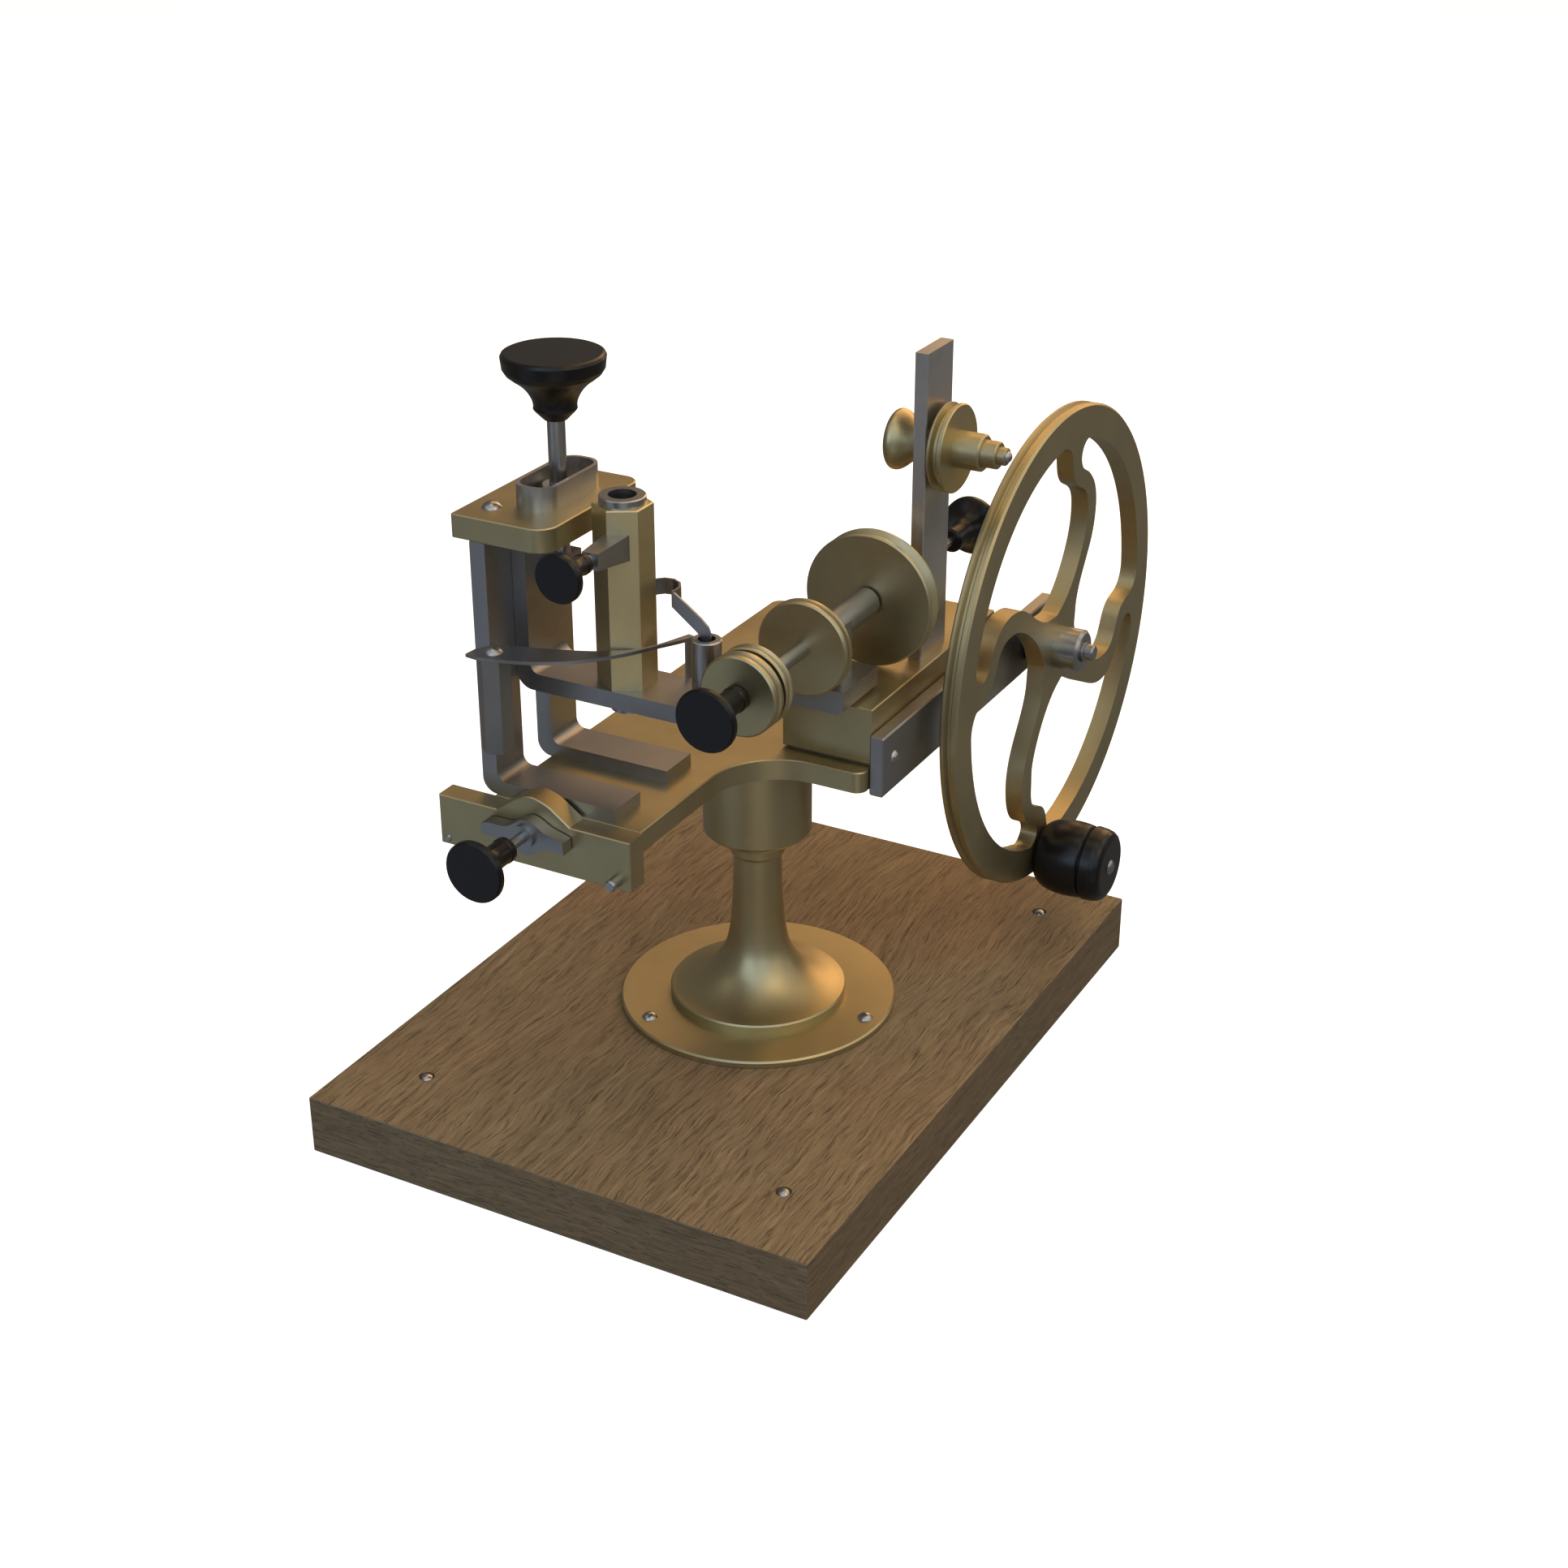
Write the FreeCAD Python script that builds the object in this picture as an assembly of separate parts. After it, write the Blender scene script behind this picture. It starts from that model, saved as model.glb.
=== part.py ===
import FreeCAD, Part
import math
import os

V = FreeCAD.Vector

# Base board (origin: centre of its underside, +X right, +Y back, +Z up)
board_w = 220.0
board_d = 300.0
board_t = 25.0
base_screw_x = (-78.1, 82.1)
base_screw_y = (-115.9, 120.9)

# Pedestal: flange, turned column, hub and table plate (heights above the board's top face)
col_x = 6.7
col_y = 0.9
flange_r = 56.9
flange_t = 3.0
flange_screw_r = 49.5
hub_r = 21.9
hub_z0 = 78.0
table_z = 125.0
table_t = 8.5
table_x0 = -48.3
table_x1 = 64.3
table_arm_x = 15.2
table_y0 = -101.0
table_arm_y = -21.2
table_y1 = 117.3
table_fillet = 28.0

# Front bar with its feed screw
bar_x0 = -67.1
bar_x1 = 16.3
bar_y0 = -110.2
bar_z0 = 104.8
feed_x = -25.2
feed_z = 120.6
feed_r = 2.1
feed_depth = 11.4
feed_knob_y = -127.2
feed_grip = 9.0

# Upright brackets, top plate and guide ring
stock = 6.5
brk_x0 = -53.9
brk_foot_x = 3.7
foot_t = 5.5
brk_y = (-99.7, -63.0)
brk_w = 17.6
plate_z0 = 224.1
plate_z1 = 233.0
plate_x = (-62.0, -21.3)
plate_y = (-99.2, -35.0)
ring_x = (-46.7, -30.0)
ring_y = (-84.3, -46.0)
ring_h = 9.0
ring_wall = 1.5
plate_screw_r = 1.1
bush_r = 6.2
bush_h = 4.6

# Vertical slide: bracket, press shaft, sleeve, quill
slide_gap = 0.1
slide_t = 5.8
slide_y0 = -83.6
slide_w = 24.4
slide_z1 = 224.0
arm_z0 = 162.6
arm_t = 6.7
arm_x1 = 30.0
press_x = -38.1
press_y = -64.8
press_r = 3.3
press_z1 = 270.0
lug_z = 206.0
hex_x = -6.5
hex_y = -72.0
hex_r = 11.1
hex_z1 = 238.2
quill_r = 6.5
quill_hole = 5.2
quill_z0 = 158.6
clamp_x = -2.8
clamp_z = 226.6
clamp_r = 2.2
clamp_y0 = -82.6
clamp_knob_y = -103.0
clamp_grip = 8.0
tube_x = 23.6
tube_y = -66.0
tube_r = 5.6
tube_hole = 3.3
tube_z1 = 189.7
blade_z = 184.5
blade_t = 1.3
rod_x = -42.2
rod_y = -105.2
rod_side = 6.2
rod_turn = 22.0
rod_z0 = 147.5

# Slide block, bearing and spindle
block_x0 = 25.9
block_y = (-13.3, 98.8)
block_z0 = 125.8
block_z1 = 148.8
spin_x = 45.1
spin_z = 177.5
spin_r = 3.0
spin_y0 = -100.0
spin_knob_y = -82.1
sleeve_r = 5.8
run_fit = 0.05

# Axle bar, flywheel and crank
axle_bar_x = (64.4, 70.3)
axle_bar_y = (-15.5, 148.4)
axle_bar_z = (114.0, 139.0)
bar_screw_y = (-5.8, 72.0)
bar_screw_z = 127.4
wheel_y = 124.9
wheel_z = 126.3
wheel_x = (75.6, 83.2)
wheel_r = 102.3
wheel_ri = 88.3
axle_r = 4.0
boss_r = 9.0
boss_x1 = 94.4
crank_y = 117.3
crank_z = 32.6
crank_pin_r = 3.0

# Post, idler pulley and lock knob
post_x = (55.0, 60.5)
post_y = (36.1, 58.6)
post_z1 = 272.8
tenon = 8.0
idler_y = 47.3
idler_z = 234.3
lock_x = 57.75
lock_z = 188.5

edge = 0.4


def cyl(r, h, x, y, z, axis=(0, 0, 1)):
    return Part.makeCylinder(r, h, V(x, y, z), V(*axis))


def box(x0, x1, y0, y1, z0, z1):
    return Part.makeBox(x1 - x0, y1 - y0, z1 - z0, V(x0, y0, z0))


def turned(points, origin, axis):
    """Solid of revolution: points are (radius, distance along the axis) pairs."""
    pts = [V(r, 0, t) for r, t in points]
    pts = [V(0, 0, points[0][1])] + pts + [V(0, 0, points[-1][1])]
    pts = [p for i, p in enumerate(pts) if i == 0 or (p - pts[i - 1]).Length > 1e-6]
    face = Part.Face(Part.makePolygon(pts + [pts[0]]))
    solid = face.revolve(V(0, 0, 0), V(0, 0, 1), 360)
    turn = FreeCAD.Rotation(V(0, 0, 1), V(*axis))
    solid.Placement = FreeCAD.Placement(V(*origin), turn)
    return solid


def smooth_turned(runs, origin, axis):
    """Solid of revolution whose outline mixes straight corners and smooth runs."""
    edges = []
    last = None
    for run in runs:
        pts = [V(r, 0, t) for r, t in run]
        if last is not None and (pts[0] - last).Length > 1e-6:
            edges.append(Part.makeLine(last, pts[0]))
        if len(pts) == 2:
            edges.append(Part.makeLine(pts[0], pts[1]))
        elif len(pts) > 2:
            spline = Part.BSplineCurve()
            spline.interpolate(pts)
            edges.append(spline.toShape())
        last = pts[-1]
    first = V(runs[0][0][0], 0, runs[0][0][1])
    if last.x > 1e-6:
        edges.append(Part.makeLine(last, V(0, 0, last.z)))
    edges.append(Part.makeLine(V(0, 0, last.z), V(0, 0, first.z)))
    if first.x > 1e-6:
        edges.append(Part.makeLine(V(0, 0, first.z), first))
    face = Part.Face(Part.Wire(edges))
    solid = face.revolve(V(0, 0, 0), V(0, 0, 1), 360)
    turn = FreeCAD.Rotation(V(0, 0, 1), V(*axis))
    solid.Placement = FreeCAD.Placement(V(*origin), turn)
    return solid


def prism(points, z0, z1):
    pts = [V(x, y, z0) for x, y in points]
    return Part.Face(Part.makePolygon(pts + [pts[0]])).extrude(V(0, 0, z1 - z0))


def side_prism(points, y0, y1):
    pts = [V(x, y0, z) for x, z in points]
    return Part.Face(Part.makePolygon(pts + [pts[0]])).extrude(V(0, y1 - y0, 0))


def upright_edges(shape, spots, tol=0.6):
    """Edges parallel to Z whose plan position is near one of the spots."""
    found = []
    for e in shape.Edges:
        a = e.Vertexes[0].Point
        b = e.Vertexes[-1].Point
        if abs(a.x - b.x) + abs(a.y - b.y) > 1e-6:
            continue
        for x, y in spots:
            if abs(a.x - x) < tol and abs(a.y - y) < tol:
                found.append(e)
    return found


def dome_screw(x, y, z, r, h, shank_r, shank_l, axis=(0, 0, 1)):
    """Round-headed screw: head on the surface, shank going in."""
    ball = (r * r + h * h) / (2 * h)
    head = Part.makeSphere(ball, V(0, 0, h - ball), V(0, 0, 1))
    head = head.common(Part.makeCylinder(r + 1, h + 1))
    screw = head.fuse(Part.makeCylinder(shank_r, shank_l, V(0, 0, -shank_l))).removeSplitter()
    screw.Placement = FreeCAD.Placement(V(x, y, z), FreeCAD.Rotation(V(0, 0, 1), V(*axis)))
    return screw


def knob(scale, length, stud_r, stud_depth, origin, axis):
    """Black disc knob: disc at the far end, waist and bead at the stud end."""
    s = scale
    runs = [
        [(4.0 * s, 0.0), (4.9 * s, 0.7)],
        [(4.9 * s, 0.7), (5.0 * s, 2.6)],
        [(5.0 * s, 2.6), (4.6 * s, 3.2)],
        [(4.6 * s, 3.2), (4.7 * s, 6.0), (5.6 * s, length - 9.0), (8.2 * s, length - 5.6),
         (11.2 * s, length - 3.4)],
        [(11.2 * s, length - 3.4), (11.9 * s, length - 2.6)],
        [(11.9 * s, length - 2.6), (11.9 * s, length - 0.9)],
        [(11.9 * s, length - 0.9), (11.2 * s, length)],
    ]
    body = smooth_turned(runs, origin, axis)
    hole = Part.makeCylinder(stud_r, stud_depth, V(*origin), V(*axis))
    return body.cut(hole)


def base_screw_spots():
    return [(x, y) for x in base_screw_x for y in base_screw_y]


def base_board():
    board = box(-board_w / 2, board_w / 2, -board_d / 2, board_d / 2, -board_t, 0)
    board = board.makeFillet(0.8, board.Edges)
    for x, y in base_screw_spots():
        board = board.cut(cyl(3.1, 1.4, x, y, -1.2))
        board = board.cut(cyl(1.5, 16, x, y, -16.0))
    for x, y in flange_screw_spots():
        board = board.cut(cyl(1.4, 12, x, y, -12))
    board = board.cut(cyl(9.0, 11, col_x, col_y, -10))
    return board


def base_screws():
    heads = [dome_screw(x, y, -1.2, 2.9, 2.1, 1.5, 14) for x, y in base_screw_spots()]
    return Part.makeCompound(heads)


def flange_screw_spots():
    spots = []
    for turn in (0.8, 118.0, 235.5):
        a = math.radians(turn)
        spots.append((col_x + flange_screw_r * math.cos(a), col_y + flange_screw_r * math.sin(a)))
    return spots


def foot_flange():
    disc = turned([(flange_r - 0.3, 0), (flange_r, 0.3), (flange_r, flange_t - 0.7),
                   (flange_r - 0.7, flange_t)], (col_x, col_y, 0), (0, 0, 1))
    disc = disc.cut(cyl(9.0, flange_t + 2, col_x, col_y, -1))
    for x, y in flange_screw_spots():
        disc = disc.cut(cyl(1.4, flange_t + 2, x, y, -1))
    return disc


def flange_screws():
    heads = [dome_screw(x, y, flange_t, 3.2, 2.0, 1.4, 14) for x, y in flange_screw_spots()]
    return Part.makeCompound(heads)


def column():
    runs = [
        [(9.0, -10.0), (9.0, flange_t)],
        [(9.0, flange_t), (36.3, flange_t)],
        [(36.3, flange_t), (36.3, 6.2)],
        [(36.3, 6.2), (35.8, 6.9)],
        [(35.8, 6.9), (30.0, 8.6), (24.0, 11.8), (19.0, 16.0), (15.5, 20.8), (13.5, 24.8), (11.8, 31.5),
         (10.6, 42.7), (10.1, 53.9), (9.75, 65.6)],
        [(9.75, 65.6), (9.75, 67.4)],
        [(9.75, 67.4), (11.2, 69.0)],
        [(11.2, 69.0), (11.2, 72.0)],
        [(11.2, 72.0), (14.0, hub_z0)],
        [(14.0, hub_z0), (8.0, hub_z0)],
        [(8.0, hub_z0), (8.0, hub_z0 + 24.0)],
    ]
    return smooth_turned(runs, (col_x, col_y, 0), (0, 0, 1))


def table_hub():
    top = table_z - table_t
    outline = [(hub_r - 1.4, hub_z0), (hub_r, hub_z0 + 1.4), (hub_r, top)]
    hub = turned(outline, (col_x, col_y, 0), (0, 0, 1))
    return hub.cut(cyl(8.0, 24.0, col_x, col_y, hub_z0))


def table_plate():
    z0 = table_z - table_t
    outline = [(table_x0, table_y0), (table_arm_x, table_y0), (table_arm_x, table_arm_y),
               (table_x1, table_arm_y), (table_x1, table_y1), (table_x0, table_y1)]
    plate = prism(outline, z0, table_z)
    plate = plate.makeFillet(table_fillet, upright_edges(plate, [(table_arm_x, table_arm_y)]))
    plate = plate.makeFillet(4.5, upright_edges(plate, [(table_x1, table_arm_y)]))
    plate = plate.makeFillet(5.0, upright_edges(plate, [(table_x1, table_y1), (table_x0, table_y1)]))
    plate = plate.makeChamfer(edge, [e for e in plate.Edges if abs(e.CenterOfMass.z - table_z) < 1e-6])
    return plate.cut(cyl(feed_r + 0.4, 14, feed_x, table_y0 - 1, feed_z, (0, 1, 0)))


def front_bar():
    z1 = table_z
    hump = [(-41.2, z1), (-37.8, z1 + 2.4), (-34.5, z1 + 4.9), (-30.7, z1 + 7.2), (-27.5, z1 + 8.4),
            (-25.2, z1 + 8.6), (-23.0, z1 + 8.2), (-20.0, z1 + 7.2), (-17.3, z1 + 5.9), (-9.1, z1)]
    spline = Part.BSplineCurve()
    spline.interpolate([V(x, bar_y0, z) for x, z in hump[:-1]])
    rim = [V(hump[-1][0], bar_y0, z1), V(bar_x1, bar_y0, z1), V(bar_x1, bar_y0, bar_z0),
           V(bar_x0, bar_y0, bar_z0), V(bar_x0, bar_y0, z1), V(hump[0][0], bar_y0, z1)]
    edges = [spline.toShape(), Part.makeLine(V(hump[-2][0], bar_y0, hump[-2][1]), rim[0])]
    for a, b in zip(rim, rim[1:]):
        edges.append(Part.makeLine(a, b))
    bar = Part.Face(Part.Wire(edges)).extrude(V(0, table_y0 - bar_y0, 0))
    bar = bar.makeChamfer(edge, [e for e in bar.Edges if abs(e.CenterOfMass.y - bar_y0) < 1e-6])
    bar = bar.cut(cyl(feed_r + run_fit, 14, feed_x, bar_y0 - 1, feed_z, (0, 1, 0)))
    for x, z, r in pin_spots():
        bar = bar.cut(cyl(r, 8.0, x, bar_y0, z, (0, 1, 0)))
    return bar


def pin_spots():
    return [(-63.8, bar_z0 + 2.6, 1.4), (10.3, bar_z0 + 3.5, 2.2)]


def bar_pins():
    left, right = pin_spots()
    pin_a = turned([(left[2], 0.0), (left[2], 8.2), (left[2] - 0.4, 8.6)],
                   (left[0], bar_y0 + 8.0, left[1]), (0, -1, 0))
    pin_b = turned([(right[2], 0.0), (right[2], 12.4), (right[2] - 0.5, 13.0)],
                   (right[0], bar_y0 + 8.0, right[1]), (0, -1, 0))
    return Part.makeCompound([pin_a, pin_b])


def feed_shaft():
    end = table_y0 + feed_depth - feed_knob_y + feed_grip
    outline = [(feed_r - 0.4, 0), (feed_r, 0.4), (feed_r, end)]
    return turned(outline, (feed_x, table_y0 + feed_depth, feed_z), (0, -1, 0))


def feed_knob():
    return knob(1.0, 21.6, feed_r, feed_grip, (feed_x, feed_knob_y, feed_z), (0, -1, 0))


def wing_nut():
    top = [(-44.2, 121.2), (-39.0, 122.3), (-33.6, 122.6), (-29.6, 124.6), (-25.4, 126.9), (-21.6, 126.5),
           (-17.4, 124.2), (-12.8, 122.7), (-8.6, 121.5)]
    low = [(-8.4, 116.6), (-12.4, 117.2), (-16.2, 117.0), (-20.4, 114.6), (-25.2, 112.6), (-29.8, 114.6),
           (-35.3, 116.6), (-39.8, 117.0), (-44.2, 117.2)]
    a = Part.BSplineCurve()
    a.interpolate([V(x, -116.2, z) for x, z in top])
    b = Part.BSplineCurve()
    b.interpolate([V(x, -116.2, z) for x, z in low])
    edges = [a.toShape(), Part.makeLine(V(top[-1][0], -116.2, top[-1][1]), V(low[0][0], -116.2, low[0][1])),
             b.toShape(), Part.makeLine(V(low[-1][0], -116.2, low[-1][1]), V(top[0][0], -116.2, top[0][1]))]
    wing = Part.Face(Part.Wire(edges)).extrude(V(0, 5.6, 0))
    collar = cyl(4.6, 7.2, feed_x, -117.8, feed_z, (0, 1, 0))
    wing = wing.fuse(collar).removeSplitter()
    return wing.cut(cyl(feed_r + run_fit, 20, feed_x, -125, feed_z, (0, 1, 0)))


def side_bracket(y0):
    x1 = brk_x0 + stock
    outline = [(brk_x0, table_z), (brk_foot_x, table_z), (brk_foot_x, table_z + foot_t),
               (x1, table_z + foot_t), (x1, plate_z0), (brk_x0, plate_z0)]
    body = side_prism(outline, y0, y0 + brk_w)
    inner = [e for e in body.Edges if abs(e.CenterOfMass.x - x1) < 0.1
             and abs(e.CenterOfMass.z - table_z - foot_t) < 0.1 and e.Length > brk_w - 1]
    body = body.makeFillet(4.0, inner)
    outer = [e for e in body.Edges if abs(e.CenterOfMass.x - brk_x0) < 0.1
             and abs(e.CenterOfMass.z - table_z) < 0.1 and e.Length > brk_w - 1]
    body = body.makeFillet(6.0, outer)
    x, y = plate_screw_spot(y0)
    body = body.cut(cyl(plate_screw_r, 9, x, y, plate_z0 - 9))
    for x in bracket_screw_x():
        body = body.cut(cyl(1.6, 4.2, x, y0 + brk_w / 2, table_z))
    return body


def bracket_screw_x():
    return (-34.0, -8.0)


def plate_screw_spot(y0):
    return (-52.5, y0 + 0.74 * brk_w)


def bracket_screws():
    """Countersunk screws from under the table into the feet of both brackets."""
    z0 = table_z - table_t
    screws = []
    for y0 in brk_y:
        for x in bracket_screw_x():
            head = turned([(3.0, 0), (1.6, 1.6)], (x, y0 + brk_w / 2, z0), (0, 0, 1))
            shank = cyl(1.6, table_t + 4.0, x, y0 + brk_w / 2, z0)
            screws.append(head.fuse(shank).removeSplitter())
    return Part.makeCompound(screws)


def drill_table(plate):
    for screw in bracket_screws().Solids:
        plate = plate.cut(screw)
    return plate


def top_plate():
    plate = box(plate_x[0], plate_x[1], plate_y[0], plate_y[1], plate_z0, plate_z1)
    plate = plate.makeFillet(8.0, upright_edges(plate, [(plate_x[1], plate_y[0])]))
    plate = plate.makeFillet(6.0, upright_edges(plate, [(plate_x[1], plate_y[1])]))
    plate = plate.makeFillet(1.2, upright_edges(plate, [(plate_x[0], plate_y[0]), (plate_x[0], plate_y[1])]))
    plate = plate.makeChamfer(edge, [e for e in plate.Edges if abs(e.CenterOfMass.z - plate_z1) < 1e-6])
    plate = plate.cut(cyl(press_r + run_fit, 12, press_x, press_y, plate_z0 - 1))
    for y0 in brk_y:
        x, y = plate_screw_spot(y0)
        plate = plate.cut(cyl(plate_screw_r, 12, x, y, plate_z0 - 1))
    return plate


def plate_screws():
    screws = []
    for y0 in brk_y:
        x, y = plate_screw_spot(y0)
        screws.append(dome_screw(x, y, plate_z1, 3.8, 2.3, plate_screw_r, 16.5))
    return Part.makeCompound(screws)


def rounded_tube(x0, x1, y0, y1, z0, z1, r, wall):
    outer = box(x0, x1, y0, y1, z0, z1)
    outer = outer.makeFillet(r, upright_edges(outer, [(x0, y0), (x1, y0), (x0, y1), (x1, y1)]))
    inner = box(x0 + wall, x1 - wall, y0 + wall, y1 - wall, z0 - 1, z1 + 1)
    spots = [(x0 + wall, y0 + wall), (x1 - wall, y0 + wall), (x0 + wall, y1 - wall), (x1 - wall, y1 - wall)]
    inner = inner.makeFillet(r - wall, upright_edges(inner, spots))
    return outer.cut(inner)


def guide_ring():
    top = plate_z1 + ring_h
    return rounded_tube(ring_x[0], ring_x[1], ring_y[0], ring_y[1], plate_z1, top, 7.0, ring_wall)


def shaft_bush():
    """Guide bush round the press shaft, standing on the plate inside the ring."""
    top = plate_z1 + bush_h
    outline = [(bush_r, plate_z1), (bush_r, top - edge), (bush_r - edge, top)]
    bush = turned(outline, (press_x, press_y, 0), (0, 0, 1))
    return bush.cut(cyl(press_r + run_fit, bush_h + 2, press_x, press_y, plate_z1 - 1))


def press_shaft():
    outline = [(press_r - 0.4, 198.0), (press_r, 198.4), (press_r, press_z1)]
    return turned(outline, (press_x, press_y, 0), (0, 0, 1))


def press_knob():
    runs = [
        [(4.4, 261.9), (7.4, 265.0)],
        [(7.4, 265.0), (8.05, 265.9)],
        [(8.05, 265.9), (7.9, 267.0)],
        [(7.9, 267.0), (8.15, 268.6), (8.85, 270.4), (10.8, 273.4), (13.0, 275.6), (15.2, 277.2)],
        [(15.2, 277.2), (17.3, 278.9)],
        [(17.3, 278.9), (18.5, 280.8)],
        [(18.5, 280.8), (19.0, 285.0)],
        [(19.0, 285.0), (18.5, 286.0)],
        [(18.5, 286.0), (17.6, 286.4)],
    ]
    body = smooth_turned(runs, (press_x, press_y, 0), (0, 0, 1))
    return body.cut(cyl(press_r, 15.0, press_x, press_y, press_z1 - 15.0))


def slide_x0():
    return brk_x0 + stock + slide_gap


def slide_bracket():
    x0 = slide_x0()
    x1 = x0 + slide_t
    z1 = arm_z0 + arm_t
    outline = [(x0, arm_z0), (arm_x1, arm_z0), (arm_x1, z1), (x1, z1), (x1, slide_z1), (x0, slide_z1)]
    body = side_prism(outline, slide_y0, slide_y0 + slide_w)
    inner = [e for e in body.Edges if abs(e.CenterOfMass.x - x1) < 0.1 and abs(e.CenterOfMass.z - z1) < 0.1
             and e.Length > slide_w - 1]
    body = body.makeFillet(4.2, inner)
    outer = [e for e in body.Edges if abs(e.CenterOfMass.x - x0) < 0.1
             and abs(e.CenterOfMass.z - arm_z0) < 0.1 and e.Length > slide_w - 1]
    body = body.makeFillet(6.5, outer)
    body = body.cut(cyl(quill_r + run_fit, 20, hex_x, hex_y, arm_z0 - 5))
    return body.cut(cyl(1.5, 10, x1 - 4.0, press_y, lug_z, (1, 0, 0)))


def slide_lug():
    """Block that ties the press shaft to the slide bracket."""
    x1 = slide_x0() + slide_t
    lug = box(x1, press_x + 5.4, press_y - 5.0, press_y + 5.0, lug_z - 6.0, lug_z + 6.0)
    lug = lug.cut(cyl(press_r, 20, press_x, press_y, lug_z - 10))
    stud = cyl(1.5, 4.0, x1 - 4.0, press_y, lug_z, (1, 0, 0))
    return lug.fuse(stud).removeSplitter()


def hexagon(r, z0, z1):
    return hexagon_at(hex_x, hex_y, r, 90, z0, z1)


def hex_sleeve():
    z0 = arm_z0 + arm_t
    body = hexagon(hex_r, z0, hex_z1)
    body = body.makeChamfer(edge, [e for e in body.Edges if abs(e.CenterOfMass.z - hex_z1) < 1e-6])
    return body.cut(cyl(quill_r + run_fit, 80, hex_x, hex_y, z0))


def quill():
    outline = [(quill_r, quill_z0), (quill_r, hex_z1), (8.6, hex_z1), (8.6, hex_z1 + 2.6),
               (8.2, hex_z1 + 3.0)]
    tube = turned(outline, (hex_x, hex_y, 0), (0, 0, 1))
    return tube.cut(cyl(quill_hole, 90, hex_x, hex_y, quill_z0 - 2))


def clamp_block():
    front_y = -100.4
    back_y = -86.0
    top_z = 229.3
    sections = [(-5.7, 0.7, front_y, 223.2), (-7.4, 0.5, back_y, 220.8), (-7.8, 0.4, -78.4, 219.5)]
    rings = []
    for x0, x1, y, z0 in sections:
        p = [V(x0, y, z0), V(x1, y, z0), V(x1, y, top_z), V(x0, y, top_z)]
        rings.append(Part.makePolygon(p + [p[0]]))
    block = Part.makeLoft(rings, True, True)
    block = block.cut(hexagon(hex_r, 200.0, hex_z1))
    return block.cut(cyl(clamp_r + run_fit, 30, clamp_x, front_y - 2, clamp_z, (0, 1, 0)))


def clamp_stud():
    length = clamp_y0 - clamp_knob_y + clamp_grip
    return cyl(clamp_r, length, clamp_x, clamp_y0, clamp_z, (0, -1, 0))


def clamp_knob():
    return knob(0.77, 18.1, clamp_r, clamp_grip, (clamp_x, clamp_knob_y, clamp_z), (0, -1, 0))


def tool_tube():
    z0 = arm_z0 + arm_t
    outline = [(tube_r, z0), (tube_r, tube_z1 - 0.5), (tube_r - 0.5, tube_z1)]
    tube = turned(outline, (tube_x, tube_y, 0), (0, 0, 1))
    return tube.cut(cyl(tube_hole, 40, tube_x, tube_y, z0))


def blade_stay():
    return box(12.1, 12.9, -62.3, -58.4, arm_z0 + arm_t, blade_z)


def leaf_spring():
    """Flat spring: bent round from the sleeve's back flat, then down into the tube."""
    t = 0.9
    y0 = tube_y - t / 2
    z0 = 199.3
    z1 = 205.4
    path = [(-3.4, -62.2), (-1.3, -58.6), (0.8, -56.5), (4.2, -55.9), (7.8, -57.8), (9.9, -61.0),
            (10.1, -63.0), (9.9, y0 + t)]
    outer = []
    inner = []
    for i, (x, y) in enumerate(path):
        ax, ay = path[max(i - 1, 0)]
        bx, by = path[min(i + 1, len(path) - 1)]
        d = math.hypot(bx - ax, by - ay)
        nx = -(by - ay) / d
        ny = (bx - ax) / d
        outer.append((x + nx * t / 2, y + ny * t / 2))
        inner.append((x - nx * t / 2, y - ny * t / 2))
    bent = prism(outer + [(outer[-1][0], y0), (inner[-1][0], y0)] + inner[::-1], z0, z1)
    x0 = inner[-1][0]
    plate = [(x0, z1), (outer[-1][0], z1 - 0.5), (15.9, 201.2), (21.4, 197.2), (24.4, 194.4), (25.4, 191.8),
             (25.4, 186.0), (22.2, 186.0), (22.0, 189.2), (19.8, 191.4), (14.6, 195.4), (x0, z0)]
    return bent.fuse(side_prism(plate, y0, y0 + t)).removeSplitter()


def hexagon_at(x, y, side, turn, z0, z1):
    pts = []
    for i in range(6):
        a = math.radians(turn + 60 * i)
        pts.append((x + side * math.cos(a), y + side * math.sin(a)))
    return prism(pts, z0, z1)


def hanging_rod():
    rod = hexagon_at(rod_x, rod_y, rod_side, rod_turn, rod_z0, blade_z)
    return rod.cut(cyl(1.3, 12, rod_x, rod_y, blade_z - 12))


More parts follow.
